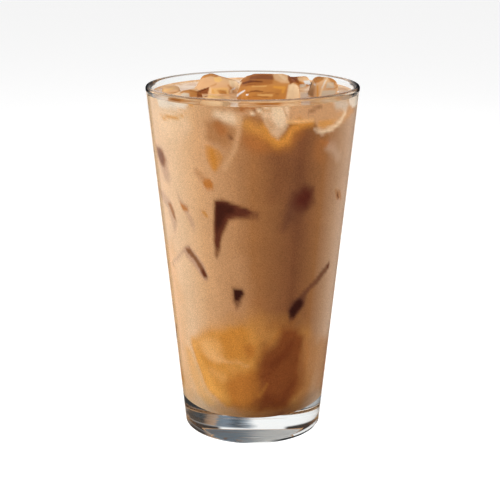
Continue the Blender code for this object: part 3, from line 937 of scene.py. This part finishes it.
# Places, softness and half widths are in the photo's pixels here.
ICE_SMUDGES = [
    # the coffee's surface at the left
    (PEACH, 0.9, 1.5, [(153, 84), (182, 83.5), (184, 91), (158, 92)]),
    (ICE_GOLD, 0.55, 1.5, [(159, 89.8, 0.8), (168, 90, 1.0), (174, 87.5, 0.8)]),
    (BEIGE_GREY, 0.9, 1.2, [(180, 84), (188, 86), (187, 90), (180, 90)]),
    # the left block
    (PEACH, 0.95, 1.5, [(186, 86), (196, 79), (203, 73), (216, 72), (240, 81), (242, 100), (186, 100)]),
    (ICE_AMBER, 0.9, 1.2, [(198, 79), (203, 71), (217, 71), (222, 75), (216, 77.5), (210, 76),
     (204, 78)]),
    (ICE_RUSSET, 0.75, 1.0, [(204, 74, 0.8), (209, 73, 0.8)]),
    (ICE_RUSSET, 0.75, 1.0, [(213, 73.5, 0.6), (217, 75, 0.8)]),
    (ICE_GOLD, 0.9, 1.2, [(214, 77.5), (220, 77), (222.5, 80), (219, 82.5), (214.5, 81)]),
    (ICE_AMBER, 0.6, 1.2, [(220, 76, 0.6), (231, 79.5, 0.7)]),
    (PALE_PEACH, 0.95, 1.5, [(229, 80), (242, 82), (239, 88), (230, 87)]),
    (ICE_GLOW, 0.9, 1.0, [(184, 87), (187.5, 82.5), (193, 79.5), (194, 82), (190.5, 85), (187, 88)]),
    (ICE_GLINT_WHITE, 0.8, 0.9, [(195.6, 83.6, 0.7), (196, 85.4, 0.7)]),
    (ICE_AMBER, 0.55, 1.5, [(216, 84, 0.8), (211, 86, 0.6)]),
    (ICE_AMBER, 0.8, 1.2, [(228.5, 85.5, 0.8), (231, 88.5, 0.8), (229, 92, 0.6)]),
    (ICE_GOLD, 0.85, 1.4, [(209, 88), (228, 88), (229, 98), (208, 98)]),
    (ICE_AMBER, 0.85, 1.6, [(217, 90), (226, 90.5), (227, 95), (220, 95)]),
    (ICE_RUSSET, 0.5, 1.0, [(220, 90.5, 0.5), (226, 93, 0.7)]),
    (ICE_GLOW, 0.7, 1.0, [(213, 90, 0.5), (214, 95, 0.6)]),
    (PALE_PEACH, 0.9, 0.9, [(210.3, 88.5, 0.8), (210.5, 94.5, 0.8)]),
    (ICE_BROWN, 0.95, 0.9, [(209.5, 86.8), (208.5, 91), (207, 97), (197, 97), (196.5, 91.3),
     (203, 89.5)]),
    (ICE_DARK, 0.85, 0.9, [(208.5, 87.5, 0.4), (204, 89.8, 1.0), (199.5, 91.3, 0.6)]),
    (ICE_RUSSET, 0.8, 1.2, [(199.5, 93.5, 1.0), (203, 95, 1.0)]),
    (PALE_PEACH, 0.85, 1.2, [(231, 91, 1.3), (234, 97, 1.0)]),
    (ICE_GLINT_WHITE, 0.9, 0.7, [(231.8, 90, 0.4), (235, 88.2, 0.5)]),
    # the low lump in front of it
    (ICE_AMBER, 0.9, 1.0, [(179, 93.5), (182, 91), (188, 89), (197, 90.8), (197, 97), (190, 97),
     (189, 93), (184, 92.5)]),
    (ICE_BROWN, 0.55, 0.9, [(190, 90.8, 0.5), (196.5, 92, 0.7)]),
    (BEIGE_GREY, 0.9, 0.9, [(180.5, 94), (184, 92.8), (189, 93.5), (189.5, 97), (181, 97)]),
    # the large block
    (ICE_AMBER, 0.95, 1.4, [(234, 100), (240, 86), (250, 72), (290, 72), (300, 84), (300, 101)]),
    (ICE_RUSSET, 0.9, 1.4, [(240, 86), (246, 77.5), (251, 72), (273, 72), (273, 84), (258, 85.5),
     (246, 86)]),
    (ICE_BROWN, 0.85, 1.0, [(251, 76), (262, 74.7), (273, 75.5), (273, 79.5), (262, 79), (249, 79.5)]),
    (ICE_DARK, 0.85, 1.0, [(243, 83.5, 0.8), (250, 81.3, 1.1), (262, 81.6, 0.6)]),
    (ICE_BROWN, 0.6, 0.8, [(246, 85, 0.5), (256, 84, 0.4)]),
    (PEACH, 0.9, 3.0, [(272, 71), (290, 71), (289, 83), (281, 82.5), (275, 80)]),
    (PALE_PEACH, 0.6, 1.2, [(280, 75, 1.2), (285, 79, 1.6)]),
    (ICE_BROWN, 0.95, 1.0, [(287.5, 71), (296, 73), (299.5, 83.5), (294, 82.5), (290, 84), (288, 79)]),
    (ICE_DARK, 0.5, 1.0, [(290, 77, 0.8), (296, 80, 0.8)]),
    (ICE_GLOW, 0.7, 1.6, [(274, 87, 1.0), (284, 88, 1.6), (283, 92, 1.4)]),
    (ICE_GOLD, 0.45, 1.0, [(252, 86.5, 0.5), (266, 86, 0.6)]),
    (ICE_DARK, 0.75, 0.9, [(246, 92.3, 0.4), (256, 91, 0.8), (263, 91.3, 0.4)]),
    (ICE_BROWN, 0.55, 0.8, [(262, 93, 0.4), (272, 92.4, 0.4), (280, 94.5, 0.3)]),
    (ICE_GOLD, 0.6, 1.2, [(258, 94.5, 0.7), (272, 95.5, 0.9)]),
    (ICE_BROWN, 0.6, 0.8, [(248, 97.3, 0.5), (258, 96.3, 0.4), (268, 97.6, 0.4)]),
    (PALE_PEACH, 0.85, 2.4, [(288.5, 85), (293, 83.5), (299.3, 86), (299.8, 101), (286, 101)]),
    (ICE_GLINT_WHITE, 0.9, 0.7, [(234.6, 98.5, 0.5), (239, 94, 0.9), (244.5, 90.6, 0.5)]),
    (ICE_GLINT_WHITE, 1.0, 0.7, [(246.4, 94.7, 0.7), (247.8, 94.7, 0.7)]),
    # behind it at the right
    (PEACH, 0.7, 1.2, [(299, 76), (311, 77), (309, 80.5), (299, 81)]),
    (ICE_GREY, 0.9, 1.0, [(303.5, 80.8), (311, 80), (310, 84.5), (305, 84)]),
    (BEIGE_GREY, 0.9, 1.2, [(299.8, 84.5), (306, 84), (306.5, 92), (300, 93)]),
    (PEACH, 0.6, 1.2, [(301, 94, 1.0), (304, 97, 1.0)]),
    # the right block
    (PEACH, 0.95, 1.2, [(306, 99), (311, 83), (316, 75), (334, 76), (346, 90), (344, 98)]),
    (BLUE_BLACK, 0.92, 0.8, [(311.6, 82.6, 0.5), (309.5, 87, 0.9), (306.6, 91, 0.6)]),
    (ICE_GREY, 0.8, 0.8, [(306.2, 92, 0.6), (305.5, 96, 0.5)]),
    (ICE_AMBER, 0.92, 1.2, [(313, 80), (317, 74.5), (324.5, 75.5), (323.5, 80), (319, 82.5), (315, 83)]),
    (ICE_RUSSET, 0.7, 0.9, [(316, 79, 0.7), (320.5, 76.5, 0.9)]),
    (ICE_GLOW, 0.85, 1.0, [(317.6, 86, 0.8), (317.6, 96.5, 1.0)]),
    (PALE_PEACH, 0.9, 0.8, [(327.5, 77.5, 0.8), (322.8, 87, 1.0), (319.8, 97, 0.9)]),
    (ICE_GREY, 0.6, 0.7, [(325.6, 80, 0.5), (322, 88, 0.5)]),
    (ICE_AMBER, 0.9, 1.0, [(328, 77), (333, 77.5), (336.5, 82.5), (334, 84), (329.5, 80.5)]),
    (BEIGE_GREY, 0.8, 1.0, [(327, 82.5), (333.5, 82.5), (334, 88), (326, 88)]),
    (PALE_PEACH, 0.7, 0.9, [(330, 84.3, 1.0), (332, 85.5, 1.0)]),
    (ICE_AMBER, 0.8, 1.0, [(334.5, 84, 0.7), (338, 86, 0.8), (334, 89.2, 0.4), (326, 89.2, 0.4)]),
    (BEIGE_GREY, 0.9, 1.2, [(322.5, 90.3), (336, 90), (335, 97), (321, 97.5)]),
    (ICE_GLINT_WHITE, 0.95, 0.7, [(337.5, 91.6, 0.5), (342, 91.6, 0.5)]),
    (ICE_GLINT_WHITE, 0.8, 0.7, [(314, 84, 0.6), (315, 84.6, 0.6)]),
]
ICE_LIGHT = 1.25
ICE_CLEARNESS = 0.06
ICE_WAVER = 0.35
ICE_WAVER_SIZE = 0.003
BAND_SIZE = Vector((0.009, 0.009, 0.0022))
BANDS = [(-0.5, ICE_RUSSET), (-0.2, ICE_AMBER), (0.05, PEACH), (0.5, PALE_PEACH)]
FACING_SLOPE = 3.0
FACING_START = 0.8
TOWARDS_CAMERA = (CAMERA_PLACE - Vector((0, 0, FILL_LEVEL))).normalized()


def in_photo(places):
    """The photo's pixels at which places, given in metres, show."""
    across, up, near = ((places - np.array(CAMERA_PLACE)) @ np.array(CAMERA_TURN.to_matrix())).T
    middle = IMAGE_PIXELS / 2
    return np.stack([middle - FOCAL_PIXELS * across / near, middle + FOCAL_PIXELS * up / near], axis=1)


def bands(mesh):
    """For every point, a tone from amber to pale that changes in uneven bands with height."""
    scaled = [Vector(side / size for side, size in zip(corner.co, BAND_SIZE)) for corner in mesh.vertices]
    return between_tones([mathutils.noise.noise(place) for place in scaled], BANDS)


def paint_as_seen(mesh, shade):
    """Paints the bands and facets on the points that face the camera, over the shade that they have."""
    spots = np.array([corner.co[:] for corner in mesh.vertices])
    facing = np.array([corner.normal[:] for corner in mesh.vertices]) @ np.array(TOWARDS_CAMERA)
    facing = np.clip(facing * FACING_SLOPE + FACING_START, 0, 1)[:, None]
    pixels = in_photo(spots) + wavering(mesh, ICE_WAVER_SIZE) * ICE_WAVER
    for tone, strength, softness, points in ICE_SMUDGES:
        mask = smudge_mask(pixels, points, softness, lambda across, down: (across, down))
        amount = facing * strength * mask[:, None]
        shade = shade * (1 - amount) + np.array(tone) * amount
    return shade / ICE_LIGHT


for lump in lumps.values():
    keep_paint(lump.data, "ice_paint", paint_as_seen(lump.data, bands(lump.data)))
print("smudges on the ice:", len(ICE_SMUDGES))

# %% The ice's skin
RIPPLE_SCALE = 320.0
ice_finish, tree, shader = new_material("melting_ice")
join(tree, paint_of(tree, "ice_paint"), shader.inputs["Base Color"])
set_values(shader, {"Roughness": 0.08, "IOR": 1.31, "Specular IOR Level": 0.0,
                    "Transmission Weight": ICE_CLEARNESS})
place, x, y, z = where(tree)
skin = tree.nodes.new("ShaderNodeBump")
set_values(skin, {"Strength": 0.25, "Distance": 0.001})
join(tree, noise(tree, place, RIPPLE_SCALE, 2.0), skin.inputs["Height"])
join(tree, skin.outputs["Normal"], shader.inputs["Normal"])
for lump in lumps.values():
    dress(lump, ice_finish)
print("the ice has its finish:", ", ".join(lump.name for lump in lumps.values()))

# %% [markdown]
# ## Back to the model
# Every piece rides on the object's one body and takes the place of its CAD node, which is hidden.

# %% Ride and replace
for piece, node, slot in [(pint, "glass", "glass"), (drink, "latte", "latte"),
                          *[(lump, name, "ice") for name, lump in lumps.items()]]:
    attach(piece, "root")
    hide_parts(node)
print("pieces on the body:", 2 + len(lumps))

# %% [markdown]
# ## The studio
# A pale floor glows a little, so that it melts into the white backdrop. The glass doesn't show it, because
# the world already holds what the glass should show from below.

# %% Floor
FLOOR_TONE = (0.60, 0.60, 0.60)
FLOOR_GLOW = 0.62

bpy.ops.object.select_all(action="DESELECT")
bpy.ops.mesh.primitive_plane_add(size=6, location=(0, 0, 0))
floor = settle(bpy.context.object, "pale_floor")
floor_finish, tree, shader = new_material("pale_floor")
join(tree, FLOOR_TONE, shader.inputs["Base Color"])
join(tree, (1.0, 1.0, 1.0), shader.inputs["Emission Color"])
set_values(shader, {"Roughness": 0.9, "Specular IOR Level": 0.0, "Emission Strength": FLOOR_GLOW})
dress(floor, floor_finish)
floor.visible_glossy = False
floor.visible_transmission = False
print("the floor is", floor.name)

# %% [markdown]
# What clear glass shows is what stands round it. The camera itself sees a white backdrop. Reflections and
# the view through the glass see a dark studio with a white card behind the drink, a pale ceiling, a pale
# table, a dim glow at the left, and a streaked band low behind the glass, which the thick base shows
# upside down and left for right. All of them are ranges of the direction that a ray takes.

# %% World
# Each pair is where a tone starts and where it has changed, as a part of a direction one long.
CARD_EDGE = (0.26, 0.34)
CEILING = (0.55, 0.80)
CEILING_EDGE = (0.35, 0.60)
CEILING_LIGHT = 0.9
TABLE_GLOW = (-0.82, -0.64)
SIDE_GLOW = (-0.62, -0.50)
SIDE_GLOW_BOTTOM = (-0.46, -0.38)
SIDE_GLOW_TOP = (-0.22, -0.12)
SIDE_LIGHT = 0.5
BAND_BOTTOM = (0.02, 0.10)
BAND_TOP = (0.46, 0.54)
BEHIND = (0.0, 0.5)
DARK_STUDIO = 0.04
# The band's tones by the direction's x, from the middle to the right. It is white at the left.
BAND_TONES = [(-0.02, (1.0, 1.0, 1.0)), (0.06, (0.30, 0.34, 0.38)), (0.14, (0.07, 0.09, 0.11)),
              (0.24, (0.20, 0.24, 0.29)), (0.32, (0.16, 0.20, 0.24)), (0.36, (0.42, 0.28, 0.19)),
              (0.46, (0.28, 0.18, 0.12)), (0.52, (0.05, 0.05, 0.05))]
STREAKS = (3.0, 3.0, 30.0)
STREAK_REACH = 0.22

world = bpy.data.worlds.new("studio")
bpy.context.scene.world = world
world.use_nodes = True
tree = world.node_tree
direction, x, y, z = where(tree, "Generated")
aside = maths(tree, "ABSOLUTE", x)
behind = fade(tree, y, *BEHIND)
card = product(tree, behind, fade(tree, aside, *CARD_EDGE, 1.0, 0.0))
ceiling = product(tree, fade(tree, z, *CEILING, 0.0, CEILING_LIGHT),
                  fade(tree, aside, *CEILING_EDGE, 1.0, 0.0))
table = fade(tree, z, *TABLE_GLOW, 1.0, 0.0)
side = product(tree, fade(tree, x, *SIDE_GLOW, SIDE_LIGHT, 0.0), fade(tree, z, *SIDE_GLOW_BOTTOM),
               fade(tree, z, *SIDE_GLOW_TOP, 1.0, 0.0), behind)
band = product(tree, fade(tree, z, *BAND_BOTTOM), fade(tree, z, *BAND_TOP, 1.0, 0.0), behind)
light = card
for glow in (ceiling, table, side):
    light = maths(tree, "MAXIMUM", light, glow)
light = maths(tree, "ADD", product(tree, light, maths(tree, "SUBTRACT", 1.0, band)), band)
streak = noise(tree, direction, 1.0, 2.0, STREAKS)
shift = maths(tree, "MULTIPLY_ADD", streak, STREAK_REACH, -STREAK_REACH / 2)
tones = tree.nodes.new("ShaderNodeValToRGB")
tones.color_ramp.elements[0].color = (*BAND_TONES[0][1], 1)
tones.color_ramp.elements[1].color = (*BAND_TONES[-1][1], 1)
for across, tone in BAND_TONES:
    tones.color_ramp.elements.new(0.5 + across / 2).color = (*tone, 1)
join(tree, maths(tree, "MULTIPLY_ADD", maths(tree, "ADD", x, shift), 0.5, 0.5), tones.inputs["Fac"])
backdrop = tree.nodes["Background"]
join(tree, (1.0, 1.0, 1.0), backdrop.inputs["Color"])
studio = tree.nodes.new("ShaderNodeBackground")
join(tree, blend(tree, band, (1.0, 1.0, 1.0), tones.outputs["Color"]), studio.inputs["Color"])
join(tree, maths(tree, "MAXIMUM", light, DARK_STUDIO), studio.inputs["Strength"])
seen_directly = tree.nodes.new("ShaderNodeLightPath").outputs["Is Camera Ray"]
choice = mixed(tree, seen_directly, studio.outputs["Background"], backdrop.outputs["Background"])
join(tree, choice, tree.nodes["World Output"].inputs["Surface"])
print("the studio's band has", len(BAND_TONES), "tones")

# %% [markdown]
# Three lamps light the coffee and the floor: a large one at the left gives the drink its bright side, a
# small one behind at the right gives it an edge, and a weak, broad one in front fills the shadows. Glass
# doesn't mirror them, because the world holds all that it mirrors.

# %% Lamps
AIM_HEIGHT = 0.08


def lamp(name, angle, height, distance, size, power):
    """A square lamp that faces the drink, at an angle in degrees from the front. Right is positive."""
    turn = math.radians(angle)
    light = bpy.data.lights.new(name, "AREA")
    light.shape = "SQUARE"
    light.size = size
    light.energy = power
    stand = bpy.data.objects.new(name, light)
    stand.location = (distance * math.sin(turn), -distance * math.cos(turn), height)
    towards = Vector((0, 0, AIM_HEIGHT)) - stand.location
    stand.rotation_euler = towards.to_track_quat("-Z", "Y").to_euler()
    stand.visible_glossy = False
    stand.visible_transmission = False
    bpy.context.scene.collection.objects.link(stand)
    print("lamp", name, "at", stand.location)


lamp("key_left", -65, 0.35, 0.7, 0.5, 6.2)
lamp("rim_right", 110, 0.25, 0.6, 0.3, 3.0)
lamp("fill_front", 30, 0.50, 0.8, 0.6, 6.0)

# %% [markdown]
# The camera stands where the photo's camera stood, as far as the glass's outline tells: the same place was
# used above to find what each pixel shows. Glass needs many bounces, in through one wall and out again.

# %% Camera
SENSOR_WIDTH = 36.0

bpy.ops.object.camera_add(location=CAMERA_PLACE, rotation=CAMERA_TURN)
camera = bpy.context.object
camera.name = "camera"
camera.data.sensor_width = SENSOR_WIDTH
camera.data.lens = SENSOR_WIDTH * FOCAL_PIXELS / IMAGE_PIXELS
camera.data.clip_start = 0.01
bpy.context.scene.camera = camera
bpy.context.scene.view_settings.view_transform = "Standard"
cycles = bpy.context.scene.cycles
cycles.max_bounces = 24
cycles.transmission_bounces = 20
cycles.transparent_max_bounces = 16
cycles.diffuse_bounces = 6
cycles.caustics_refractive = True
cycles.use_denoising = True
print("the lens is", camera.data.lens, "mm")
